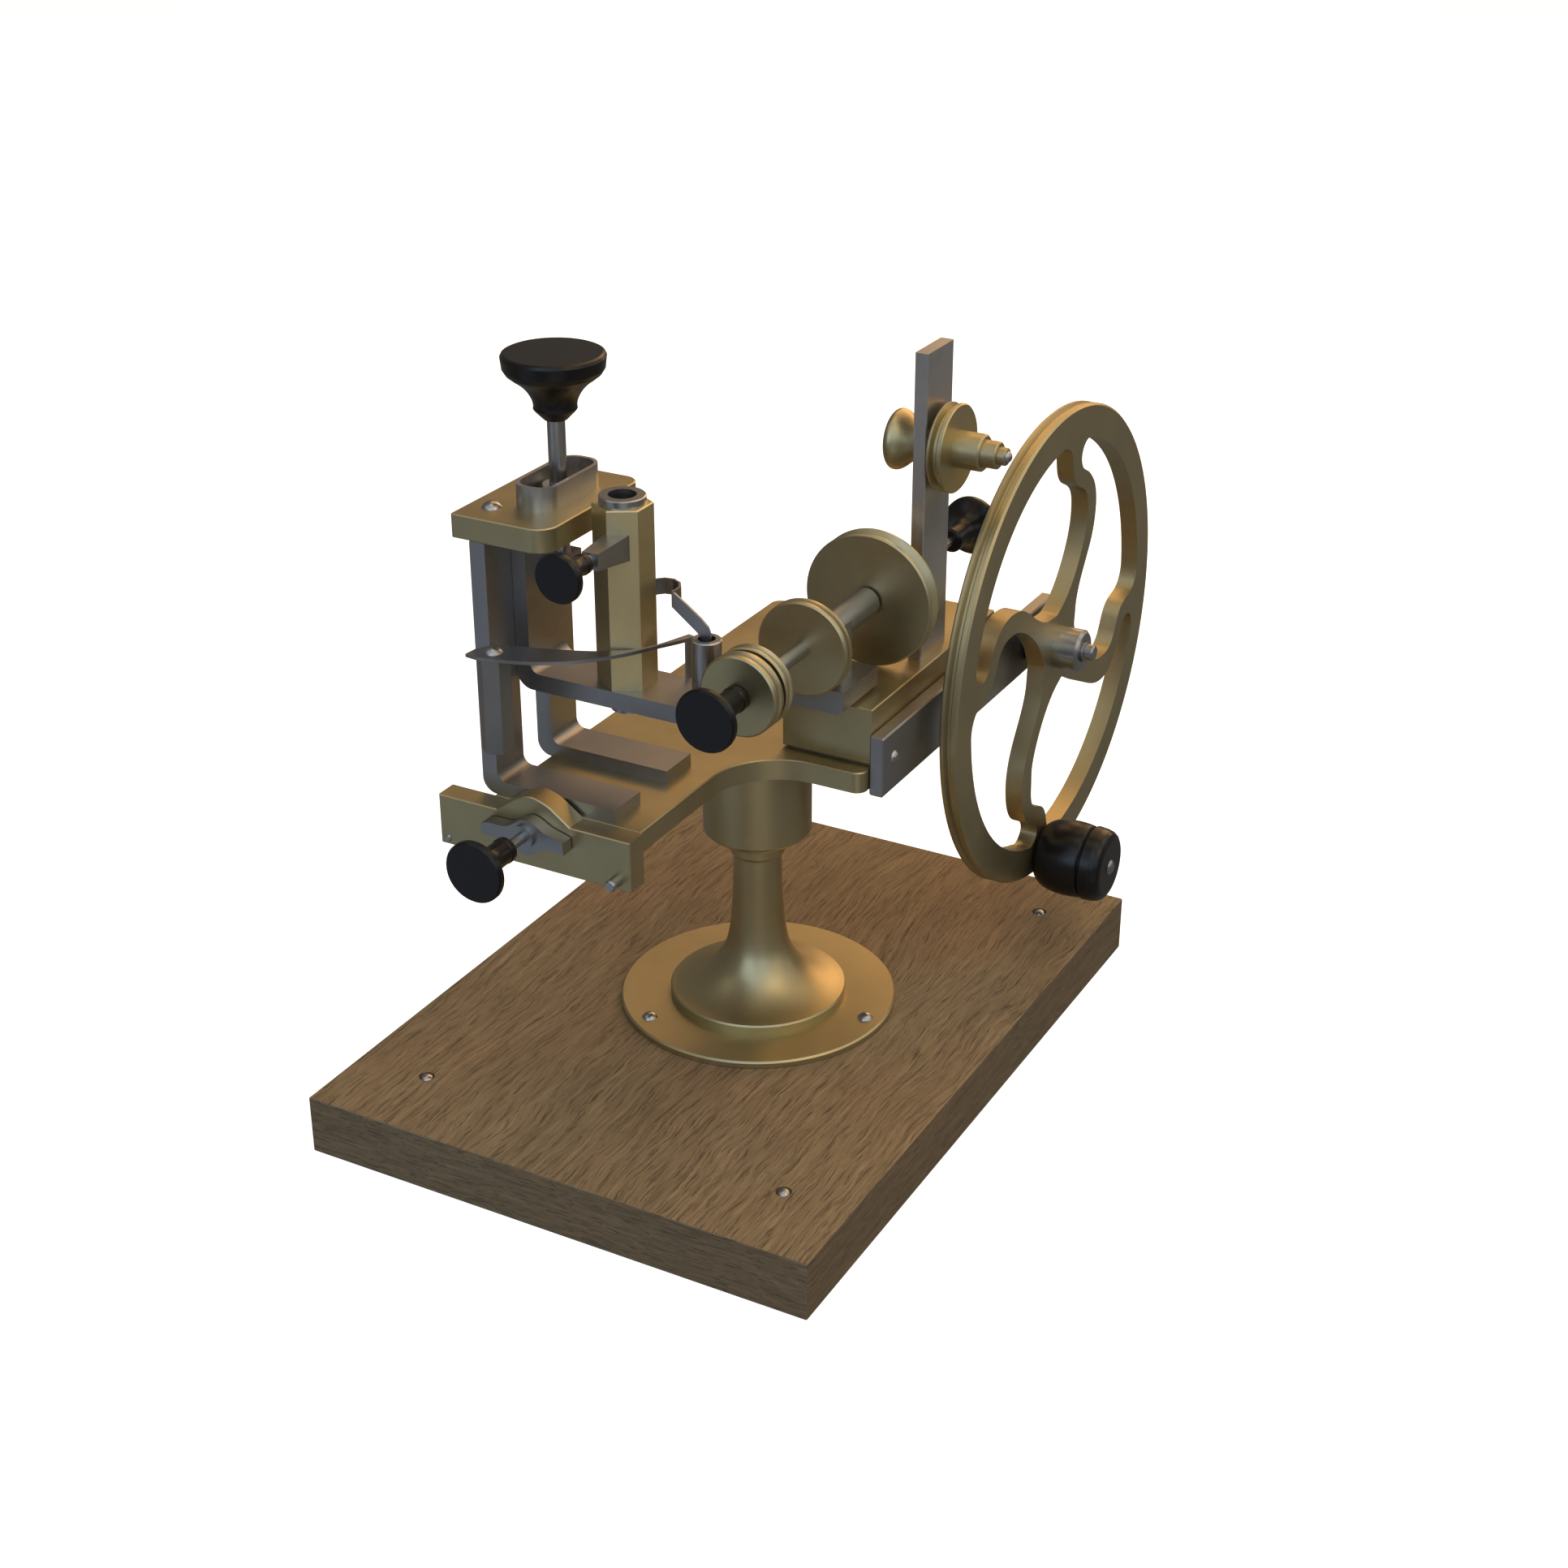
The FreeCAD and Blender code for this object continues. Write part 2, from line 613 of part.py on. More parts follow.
def blade():
    """Curved finger: outline follows one arc in front, one behind."""
    front = [(-50.0, -111.3), (-45.0, -111.9), (-35.9, -109.9), (-27.3, -107.0), (-20.0, -103.4),
             (-13.8, -99.3), (-6.9, -92.7), (1.3, -82.1), (6.6, -72.6), (12.4, -62.6), (14.0, -58.3)]
    back = [(11.2, -57.6), (8.9, -64.0), (6.1, -71.1), (2.0, -77.8), (-6.0, -84.6), (-16.7, -89.9),
            (-32.8, -95.4), (-44.4, -98.8), (-49.4, -105.7)]
    a = Part.BSplineCurve()
    a.interpolate([V(x, y, blade_z) for x, y in front[1:]])
    b = Part.BSplineCurve()
    b.interpolate([V(x, y, blade_z) for x, y in back[:-1]])
    f = [V(x, y, blade_z) for x, y in front]
    g = [V(x, y, blade_z) for x, y in back]
    edges = [Part.makeLine(f[0], f[1]), a.toShape(), Part.makeLine(f[-1], g[0]), b.toShape(),
             Part.makeLine(g[-2], g[-1]), Part.makeLine(g[-1], f[0])]
    body = Part.Face(Part.Wire(edges)).extrude(V(0, 0, blade_t))
    body = body.cut(cyl(1.3, 4, rod_x, rod_y, blade_z - 1))
    return body.cut(hexagon(hex_r, blade_z - 1, blade_z + blade_t + 1))


def blade_screw():
    return dome_screw(rod_x, rod_y, blade_z + blade_t, 3.6, 2.2, 1.3, 12)


def slide_block():
    b = box(block_x0, table_x1, block_y[0], block_y[1], block_z0, block_z1)
    b = b.makeChamfer(edge, b.Edges)
    b = b.cut(box(post_x[0], post_x[1], post_y[0], post_y[1], block_z1 - tenon, block_z1 + 1))
    for y in bar_screw_y:
        b = b.cut(cyl(1.4, 12, axle_bar_x[1] - 12, y, bar_screw_z, (1, 0, 0)))
    return b


def block_shim():
    return box(block_x0 + 1.4, table_x1 - 1.4, block_y[0] + 1.6, block_y[1] - 1.6, table_z, block_z0)


def bearing_block():
    x0 = spin_x - 11.9
    x1 = spin_x + 11.9
    y0 = -23.4
    y1 = 5.6
    foot = [(x0 + 1.8, block_z1), (x1 - 1.8, block_z1), (x1, block_z1 + 1.8), (x1, block_z1 + 9.4),
            (spin_x + 6.4, block_z1 + 9.4), (spin_x + 5.9, spin_z + 2.4), (spin_x - 5.9, spin_z + 2.4),
            (spin_x - 6.4, block_z1 + 9.4), (x0, block_z1 + 9.4), (x0, block_z1 + 1.8)]
    body = side_prism(foot, y0, y1)
    body = body.cut(box(x0 - 1, x1 + 1, y0 - 1, -14.7, block_z1 + 9.4, 200.0))
    body = body.cut(box(x0 - 1, x1 + 1, -5.7, y1 + 1, block_z1 + 9.4, 200.0))
    body = body.fuse(cyl(sleeve_r, 44.8, spin_x, -26.2, spin_z, (0, 1, 0))).removeSplitter()
    return body.cut(cyl(spin_r + run_fit, 60, spin_x, -30, spin_z, (0, 1, 0)))


def spindle_shaft():
    outline = [(spin_r, 0), (spin_r, 130.4), (spin_r - 0.5, 131.0)]
    return turned(outline, (spin_x, spin_y0, spin_z), (0, 1, 0))


def pulley(r, depth, width, flange, bore, origin, axis, lip=0.7):
    """Grooved disc; depth is the groove's depth and flange the width of each rim."""
    pts = [(r - lip, 0), (r, lip), (r, flange), (r - depth, width / 2 - 0.3), (r - depth, width / 2 + 0.3),
           (r, width - flange), (r, width - lip), (r - lip, width)]
    body = turned(pts, origin, axis)
    return body.cut(Part.makeCylinder(bore, width + 20, V(*origin) - V(*axis) * 10, V(*axis)))


def big_pulley():
    return pulley(26.8, 3.2, 8.3, 1.5, spin_r, (spin_x, 19.7, spin_z), (0, 1, 0))


def medium_pulley():
    return pulley(18.5, 2.4, 5.5, 1.7, spin_r, (spin_x, -34.0, spin_z), (0, 1, 0))


def small_rear_pulley():
    return pulley(15.4, 1.8, 5.1, 1.3, spin_r, (spin_x, -73.4, spin_z), (0, 1, 0), 0.5)


def small_front_pulley():
    return pulley(15.4, 1.8, 6.7, 2.2, spin_r, (spin_x, -82.0, spin_z), (0, 1, 0))


def spindle_knob():
    grip = spin_knob_y - spin_y0
    return knob(1.0, 23.4, spin_r, grip, (spin_x, spin_knob_y, spin_z), (0, -1, 0))


def axle_bar():
    bar = box(axle_bar_x[0], axle_bar_x[1], axle_bar_y[0], axle_bar_y[1], axle_bar_z[0], axle_bar_z[1])
    bar = bar.makeChamfer(0.6, bar.Edges)
    bar = bar.cut(cyl(axle_r, 20, 55, wheel_y, wheel_z, (1, 0, 0)))
    for y in bar_screw_y:
        bar = bar.cut(cyl(1.4, 10, 62, y, bar_screw_z, (1, 0, 0)))
    return bar


def bar_screws():
    x = axle_bar_x[1]
    heads = [dome_screw(x, y, bar_screw_z, 2.9, 1.7, 1.4, 12, (1, 0, 0)) for y in bar_screw_y]
    return Part.makeCompound(heads)


def axle_stud():
    """Fixed axle: head behind the bar, bearing length for the wheel."""
    pts = [(7.0, 60.0), (7.0, axle_bar_x[0]), (axle_r, axle_bar_x[0]), (axle_r, boss_x1 + 0.6)]
    stud = turned(pts, (0, wheel_y, wheel_z), (1, 0, 0))
    return stud.cut(cyl(2.0, 12, boss_x1 + 0.6 - 12, wheel_y, wheel_z, (1, 0, 0)))


def axle_screw():
    x0 = boss_x1 + 0.6
    pts = [(2.0, x0 - 12.0), (2.0, x0), (4.5, x0), (4.5, x0 + 0.4), (3.5, x0 + 0.9), (3.5, x0 + 3.5),
           (2.9, x0 + 4.1)]
    return turned(pts, (0, wheel_y, wheel_z), (1, 0, 0))


def turn_point(p, quarter):
    """Rotate a (u, v) point by quarter turns."""
    u, v = p
    for _ in range(quarter % 4):
        u, v = -v, u
    return (u, v)


def window_edges(quarter):
    """Spoke edges bounding one opening; the lowest spoke has its step further out."""
    lead = [(-2.4, 16.4), (7.1, 21.8), (15.0, 30.0), (20.7, 39.0), (23.6, 47.5)]
    lead_step = [(23.9, 54.0), (22.5, 59.6), (19.2, 63.4), (14.5, 66.0), (9.2, 69.3), (6.2, 73.8),
                 (4.9, 79.5), (2.6, 84.4), (-2.0, 87.4)]
    tail = [(15.9, 8.6), (16.2, 13.0), (17.9, 19.0), (21.4, 25.5), (26.5, 33.0), (31.0, 41.0)]
    tail_step = [(33.0, 49.3), (32.6, 57.4), (30.0, 63.5), (26.0, 67.9), (21.5, 71.1), (17.0, 73.5),
                 (14.6, 76.5), (14.2, 80.0), (16.0, 83.4), (20.0, 85.4)]
    if quarter == 1:
        tail_step = [(33.4, 50.5), (32.8, 59.0), (30.6, 65.6), (27.4, 70.2), (23.6, 73.2), (18.6, 75.8),
                     (15.6, 78.2), (14.6, 81.2), (16.4, 84.2), (20.6, 86.0)]
    if quarter == 2:
        lead_step = [(23.4, 54.5), (23.0, 60.6), (20.8, 65.4), (15.6, 68.4), (10.3, 70.9), (6.5, 75.0),
                     (4.7, 79.5), (2.6, 84.4), (-2.0, 87.4)]
        tail = [(16.6, 8.6), (18.3, 12.4), (21.6, 18.0), (25.2, 24.5), (29.2, 32.0), (33.2, 41.0)]
        tail_step = [(35.2, 48.6), (34.9, 56.6), (31.6, 63.5), (26.6, 67.9), (21.5, 71.1), (17.0, 73.5),
                     (14.6, 76.5), (14.2, 80.0), (16.0, 83.4), (20.0, 85.4)]
    return (lead + lead_step, tail + tail_step)


def wheel_window(quarter):
    """Opening between two S-shaped spokes, closed by the rim's inner circle."""
    lead, tail = window_edges(quarter)
    tail = [turn_point(p, 1) for p in tail]
    a0 = math.atan2(88.2, -7.5)
    a1 = math.atan2(23.5, -85.1)
    mid = (a0 + a1) / 2

    def at(p):
        u, v = turn_point(p, quarter)
        return V(wheel_x[0] - 1, wheel_y + u, wheel_z + v)

    def rim(a):
        return at((wheel_ri * math.cos(a), wheel_ri * math.sin(a)))

    one = Part.BSplineCurve()
    one.interpolate([at(p) for p in lead] + [rim(a0)])
    arc = Part.Arc(rim(a0), rim(mid), rim(a1))
    two = Part.BSplineCurve()
    two.interpolate([rim(a1)] + [at(p) for p in tail[::-1]] + [at((-5.6, 15.6)), at(lead[0])])
    wire = Part.Wire([one.toShape(), arc.toShape(), two.toShape()])
    return Part.Face(wire).extrude(V(wheel_x[1] - wheel_x[0] + 2, 0, 0))


def flywheel():
    w = wheel_x[1] - wheel_x[0]
    r = wheel_r
    pts = [(r - 0.7, 0), (r, 0.7), (r, 1.9), (r - 1.6, 3.0), (r - 1.6, 4.0), (r, 5.0), (r, w - 0.9),
           (r - 0.9, w)]
    wheel = turned(pts, (wheel_x[0], wheel_y, wheel_z), (1, 0, 0))
    for q in range(4):
        wheel = wheel.cut(wheel_window(q))
    wheel = wheel.cut(cyl(boss_r, 30, 65, wheel_y, wheel_z, (1, 0, 0)))
    wheel = wheel.cut(cyl(crank_pin_r, 30, 65, crank_y, crank_z, (1, 0, 0)))
    return wheel


def wheel_boss():
    pts = [(boss_r - 0.8, 70.9), (boss_r, 71.7), (boss_r, boss_x1 - 1.2), (boss_r - 1.2, boss_x1)]
    boss = turned(pts, (0, wheel_y, wheel_z), (1, 0, 0))
    return boss.cut(cyl(axle_r + run_fit, 60, 60, wheel_y, wheel_z, (1, 0, 0)))


def crank_pin():
    return cyl(crank_pin_r, 114.6 - wheel_x[0], wheel_x[0], crank_y, crank_z, (1, 0, 0))


def crank_handle():
    runs = [
        [(11.4, 83.9), (12.3, 84.2)],
        [(12.3, 84.2), (13.3, 85.2), (15.4, 89.0), (16.35, 94.5), (16.4, 100.0), (15.9, 104.2)],
        [(15.9, 104.2), (15.4, 104.8)],
        [(15.4, 104.8), (14.5, 104.8)],
        [(14.5, 104.8), (14.5, 105.8)],
    ]
    body = smooth_turned(runs, (0, crank_y, crank_z), (1, 0, 0))
    return body.cut(cyl(crank_pin_r + run_fit, 40, 80, crank_y, crank_z, (1, 0, 0)))


def crank_cap():
    pts = [(14.5, 105.8), (15.7, 105.8), (16.3, 106.5), (16.0, 110.2), (15.4, 112.4), (14.5, 113.8),
           (13.2, 114.6), (11.8, 114.9)]
    body = turned(pts, (0, crank_y, crank_z), (1, 0, 0))
    return body.cut(cyl(crank_pin_r + run_fit, 40, 80, crank_y, crank_z, (1, 0, 0)))


def crank_rivet():
    return dome_screw(114.95, crank_y, crank_z, 3.4, 1.6, 1.0, 0.35, (1, 0, 0))


def post():
    p = box(post_x[0], post_x[1], post_y[0], post_y[1], block_z1 - tenon, post_z1)
    p = p.makeChamfer(edge, upright_edges(p, [(post_x[0], post_y[0]), (post_x[1], post_y[0]),
                                              (post_x[1], post_y[1]), (post_x[0], post_y[1])]))
    p = p.cut(cyl(2.5, 20, 50, idler_y, idler_z, (1, 0, 0)))
    return p.cut(cyl(1.9 + run_fit, 10, lock_x, post_y[1] - 9, lock_z, (0, 1, 0)))


def idler_stud():
    body = cyl(2.5, 37.4, 51.0, idler_y, idler_z, (1, 0, 0))
    tip = Part.makeSphere(2.5, V(88.4, idler_y, idler_z))
    return body.fuse(tip).removeSplitter()


def idler_washer():
    ring = cyl(5.2, 2.2, post_x[1], idler_y, idler_z, (1, 0, 0))
    return ring.cut(cyl(2.5, 10, 55, idler_y, idler_z, (1, 0, 0)))


def idler_pulley():
    x0 = post_x[1] + 2.4
    pts = [(16.4, 0), (17.2, 0.6), (17.2, 1.3), (15.0, 2.3), (15.0, 3.3), (17.2, 4.6), (17.2, 5.7),
           (16.7, 6.2), (7.2, 6.2), (7.2, 16.4), (6.5, 17.1), (5.3, 17.1), (5.3, 22.6), (4.8, 23.1),
           (3.45, 23.2), (3.45, 25.9), (3.0, 26.3)]
    body = turned(pts, (x0, idler_y, idler_z), (1, 0, 0))
    return body.cut(cyl(2.5 + run_fit, 60, 50, idler_y, idler_z, (1, 0, 0)))


def idler_knob():
    runs = [
        [(5.2, 0.0), (5.6, 0.6)],
        [(5.6, 0.6), (6.6, 2.8), (8.6, 5.4), (10.5, 7.6), (11.5, 9.3), (11.85, 10.8), (11.5, 12.1),
         (10.4, 13.0), (7.6, 13.5)],
    ]
    body = smooth_turned(runs, (post_x[0] - 0.1, idler_y, idler_z), (-1, 0, 0))
    return body.cut(cyl(2.5 + run_fit, 4.2, 50.8, idler_y, idler_z, (1, 0, 0)))


def lock_stud():
    return cyl(1.9, 24.0, lock_x, post_y[1] - 8.0, lock_z, (0, 1, 0))


def lock_knob():
    return knob(1.0, 22.0, 1.9, 8.0, (lock_x, post_y[1] + 8.0, lock_z), (0, 1, 0))


def table_drilled():
    return drill_table(table_plate())


PARTS = {
    "base_board": base_board, "base_screws": base_screws, "foot_flange": foot_flange,
    "flange_screws": flange_screws, "column": column, "table_hub": table_hub, "table_plate": table_drilled,
    "front_bar": front_bar, "bar_pins": bar_pins, "feed_shaft": feed_shaft, "feed_knob": feed_knob,
    "wing_nut": wing_nut, "bracket_front": lambda: side_bracket(brk_y[0]),
    "bracket_rear": lambda: side_bracket(brk_y[1]), "bracket_screws": bracket_screws, "top_plate": top_plate,
    "plate_screws": plate_screws, "guide_ring": guide_ring, "shaft_bush": shaft_bush,
    "press_shaft": press_shaft,
    "press_knob": press_knob, "slide_bracket": slide_bracket, "slide_lug": slide_lug,
    "hex_sleeve": hex_sleeve, "quill": quill, "clamp_block": clamp_block, "clamp_stud": clamp_stud,
    "clamp_knob": clamp_knob, "tool_tube": tool_tube, "blade_stay": blade_stay, "leaf_spring": leaf_spring,
    "hanging_rod": hanging_rod, "blade": blade, "blade_screw": blade_screw, "slide_block": slide_block,
    "block_shim": block_shim, "bearing_block": bearing_block, "spindle_shaft": spindle_shaft,
    "big_pulley": big_pulley, "medium_pulley": medium_pulley, "small_rear_pulley": small_rear_pulley,
    "small_front_pulley": small_front_pulley, "spindle_knob": spindle_knob, "axle_bar": axle_bar,
    "bar_screws": bar_screws, "axle_stud": axle_stud, "axle_screw": axle_screw, "flywheel": flywheel,
    "wheel_boss": wheel_boss, "crank_pin": crank_pin, "crank_handle": crank_handle, "crank_cap": crank_cap,
    "crank_rivet": crank_rivet, "post": post, "idler_stud": idler_stud, "idler_washer": idler_washer,
    "idler_pulley": idler_pulley, "idler_knob": idler_knob, "lock_stud": lock_stud, "lock_knob": lock_knob,
}


def main():
    os.makedirs("parts", exist_ok=True)
    for name, make in PARTS.items():
        shape = make()
        shape.translate(V(0, 0, board_t))
        print(name, shape.isValid(), len(shape.Solids), round(shape.Volume, 1))
        shape.exportStep("parts/" + name + ".step")


main()
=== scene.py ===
import math

import bpy
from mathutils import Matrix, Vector


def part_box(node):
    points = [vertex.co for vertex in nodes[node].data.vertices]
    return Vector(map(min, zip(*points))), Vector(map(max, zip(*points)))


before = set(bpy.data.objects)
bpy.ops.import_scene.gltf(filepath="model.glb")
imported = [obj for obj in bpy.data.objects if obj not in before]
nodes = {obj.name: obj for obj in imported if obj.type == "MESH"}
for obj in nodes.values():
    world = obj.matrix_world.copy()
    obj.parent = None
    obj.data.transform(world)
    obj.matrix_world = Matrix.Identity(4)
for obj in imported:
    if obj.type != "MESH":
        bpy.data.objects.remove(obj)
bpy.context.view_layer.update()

LOW, HIGH = 0, 1


# ---------------------------------------------------------------- node helpers

class Shader:
    """A material with a Principled shader and short calls for its nodes."""

    def __init__(self, name, **sockets):
        self.mat = bpy.data.materials.new(name)
        self.mat.use_nodes = True
        self.tree = self.mat.node_tree
        self.bsdf = self.tree.nodes["Principled BSDF"]
        for socket, value in sockets.items():
            self.bsdf.inputs[socket.replace("_", " ")].default_value = value
        self.coords = self.node("ShaderNodeTexCoord").outputs["Object"]

    def node(self, kind, **settings):
        made = self.tree.nodes.new(kind)
        for key, value in settings.items():
            setattr(made, key, value)
        return made

    def link(self, source, target):
        self.tree.links.new(source, target)

    def feed(self, socket, source):
        self.link(source, self.bsdf.inputs[socket])

    def stretched(self, scale, source=None):
        """Coordinates scaled by a different amount along each axis."""
        made = self.node("ShaderNodeMapping")
        made.inputs["Scale"].default_value = scale
        self.link(source or self.coords, made.inputs["Vector"])
        return made.outputs["Vector"]

    def noise(self, scale, detail=3.0, rough=0.5, source=None, distortion=0.0):
        made = self.node("ShaderNodeTexNoise")
        made.inputs["Scale"].default_value = scale
        made.inputs["Detail"].default_value = detail
        made.inputs["Roughness"].default_value = rough
        made.inputs["Distortion"].default_value = distortion
        self.link(source or self.coords, made.inputs["Vector"])
        return made.outputs["Fac"]

    def ramp(self, source, *stops):
        """Colour ramp from (place, colour) stops."""
        made = self.node("ShaderNodeValToRGB")
        elements = made.color_ramp.elements
        while len(elements) < len(stops):
            elements.new(0.5)
        for element, (place, colour) in zip(elements, stops):
            element.position = place
            element.color = (*colour, 1)
        self.link(source, made.inputs["Fac"])
        return made.outputs["Color"]

    def span(self, source, low, high, start=0.0, end=1.0):
        """Maps start..end of a value to low..high."""
        made = self.node("ShaderNodeMapRange")
        made.inputs["From Min"].default_value = start
        made.inputs["From Max"].default_value = end
        made.inputs["To Min"].default_value = low
        made.inputs["To Max"].default_value = high
        self.link(source, made.inputs["Value"])
        return made.outputs["Result"]

    def sum(self, a, b, operation="ADD"):
        """Adds two values, or combines them by another operation; either may be a number."""
        made = self.node("ShaderNodeMath", operation=operation)
        for slot, value in enumerate((a, b)):
            if isinstance(value, (int, float)):
                made.inputs[slot].default_value = value
            else:
                self.link(value, made.inputs[slot])
        return made.outputs["Value"]

    def mix(self, factor, a, b, blend="MIX"):
        """Mixes two colours; each may be a colour or a socket."""
        made = self.node("ShaderNodeMix", data_type="RGBA", blend_type=blend)
        for socket, value in ((0, factor), (6, a), (7, b)):
            if isinstance(value, (int, float)):
                made.inputs[socket].default_value = value
            elif isinstance(value, tuple):
                made.inputs[socket].default_value = (*value, 1)
            else:
                self.link(value, made.inputs[socket])
        return made.outputs[2]

    def bump(self, height, strength, distance, normal=None):
        """Relief of a height, on top of an earlier relief where one is given."""
        made = self.node("ShaderNodeBump")
        made.inputs["Strength"].default_value = strength
        made.inputs["Distance"].default_value = distance
        self.link(height, made.inputs["Height"])
        if normal:
            self.link(normal, made.inputs["Normal"])
        return made.outputs["Normal"]


def shade(colour, factor):
    """The colour made lighter or darker."""
    return tuple(min(1.0, c * factor) for c in colour)


# ---------------------------------------------------------------- materials

SATIN_MOTTLE = 0.10     # how far the clouds lighten and darken satin metal
TURNED_MOTTLE = 0.08    # the same for turned metal
STREAK = 0.04           # how far the brushing and the rings change the roughness
TARNISH = 0.72          # how dark the tarnished patches are
BRUSH_SCALE = 900       # noise cells to the metre, across the brushing


def cloudy(s, colour, clouds, mottle):
    """A metal's colour, lighter and darker in soft clouds."""
    return s.ramp(clouds, (0.30, shade(colour, 1 - mottle)), (0.72, shade(colour, 1 + mottle)))


def satin_metal(name, colour, roughness, brushed):
    """Satin metal: fine brushing along one direction, cloudy tarnish and tiny pits."""
    s = Shader(name, Metallic=1.0)
    clouds = s.noise(28, 4, 0.6)
    patches = s.noise(9, 3, 0.5, distortion=0.8)
    brushing = s.noise(1, 3, 0.6, s.stretched(tuple(v * BRUSH_SCALE for v in brushed)))
    tone = cloudy(s, colour, clouds, SATIN_MOTTLE)
    s.feed("Base Color", s.mix(s.span(patches, 0.0, 0.55, 0.52, 0.78), tone, shade(colour, TARNISH)))
    rough = s.span(clouds, roughness - 0.05, roughness + 0.06)
    s.feed("Roughness", s.sum(rough, s.span(brushing, -STREAK, STREAK)))
    pits = s.noise(2600, 2, 0.5)
    first = s.bump(brushing, 0.10, 0.0002)
    s.feed("Normal", s.bump(pits, 0.05, 0.0001, first))
    return s.mat


def turned_metal(name, colour, roughness, centre, axis):
    """Lathe-turned metal: rings round the axis through centre."""
    s = Shader(name, Metallic=1.0)
    away = s.node("ShaderNodeVectorMath", operation="SUBTRACT")
    away.inputs[1].default_value = centre
    s.link(s.coords, away.inputs[0])
    flat = s.node("ShaderNodeVectorMath", operation="MULTIPLY")
    flat.inputs[1].default_value = tuple(0 if i == axis else 1 for i in range(3))
    s.link(away.outputs["Vector"], flat.inputs[0])
    radius = s.node("ShaderNodeVectorMath", operation="LENGTH")
    s.link(flat.outputs["Vector"], radius.inputs[0])
    along = s.node("ShaderNodeSeparateXYZ")
    s.link(away.outputs["Vector"], along.inputs[0])
    place = s.node("ShaderNodeCombineXYZ")
    s.link(radius.outputs["Value"], place.inputs["X"])
    s.link(along.outputs[axis], place.inputs["Y"])
    rings = s.noise(1400, 3, 0.6, place.outputs["Vector"])
    clouds = s.noise(26, 4, 0.6)
    s.feed("Base Color", cloudy(s, colour, clouds, TURNED_MOTTLE))
    rough = s.span(clouds, roughness - 0.04, roughness + 0.05)
    s.feed("Roughness", s.sum(rough, s.span(rings, -STREAK, STREAK)))
    s.feed("Normal", s.bump(rings, 0.10, 0.00015))
    return s.mat


def polished_black(name):
    """Black moulded knob: glossy, with faint handling marks."""
    s = Shader(name, IOR=1.40)
    marks = s.noise(60, 5, 0.65)
    fine = s.noise(900, 2, 0.5)
    s.feed("Base Color", s.ramp(marks, (0.35, (0.0060, 0.0050, 0.0050)), (0.75, (0.0095, 0.0080, 0.0078))))
    s.feed("Roughness", s.span(marks, 0.24, 0.36))
    s.feed("Normal", s.bump(fine, 0.04, 0.0001))
    return s.mat


def faces(s, axis):
    """1 on the faces that look along an axis, either way, and 0 elsewhere."""
    facing = s.node("ShaderNodeSeparateXYZ")
    s.link(s.node("ShaderNodeTexCoord").outputs["Normal"], facing.inputs[0])
    return s.sum(s.sum(facing.outputs[axis], 0, "ABSOLUTE"), 0.7, "GREATER_THAN")


def along_the_fibres(s, end_face):
    """Coordinates whose Y runs along the fibres: Y on the top and long sides, X on the end faces."""
    plain = s.node("ShaderNodeSeparateXYZ")
    s.link(s.coords, plain.inputs[0])
    swapped = s.node("ShaderNodeCombineXYZ")
    for source, target in (("Y", "X"), ("X", "Y"), ("Z", "Z")):
        s.link(plain.outputs[source], swapped.inputs[target])
    place = s.node("ShaderNodeMix", data_type="VECTOR")
    s.link(end_face, place.inputs[0])
    s.link(s.coords, place.inputs[4])
    s.link(swapped.outputs["Vector"], place.inputs[5])
    return place.outputs[1]


def waved(s, along):
    """The fibres' coordinates, bent from side to side in long waves and short curls."""
    wave = s.noise(9, 2, 0.5, s.stretched((1.4, 0.8, 1.4), along))
    curl = s.noise(70, 2, 0.5, s.stretched((1.0, 0.6, 1.0), along))
    shift = s.node("ShaderNodeCombineXYZ")
    s.link(s.sum(s.span(wave, -0.012, 0.012), s.span(curl, -0.0026, 0.0026)), shift.inputs["X"])
    moved = s.node("ShaderNodeVectorMath", operation="ADD")
    s.link(along, moved.inputs[0])
    s.link(shift.outputs["Vector"], moved.inputs[1])
    return moved.outputs["Vector"]


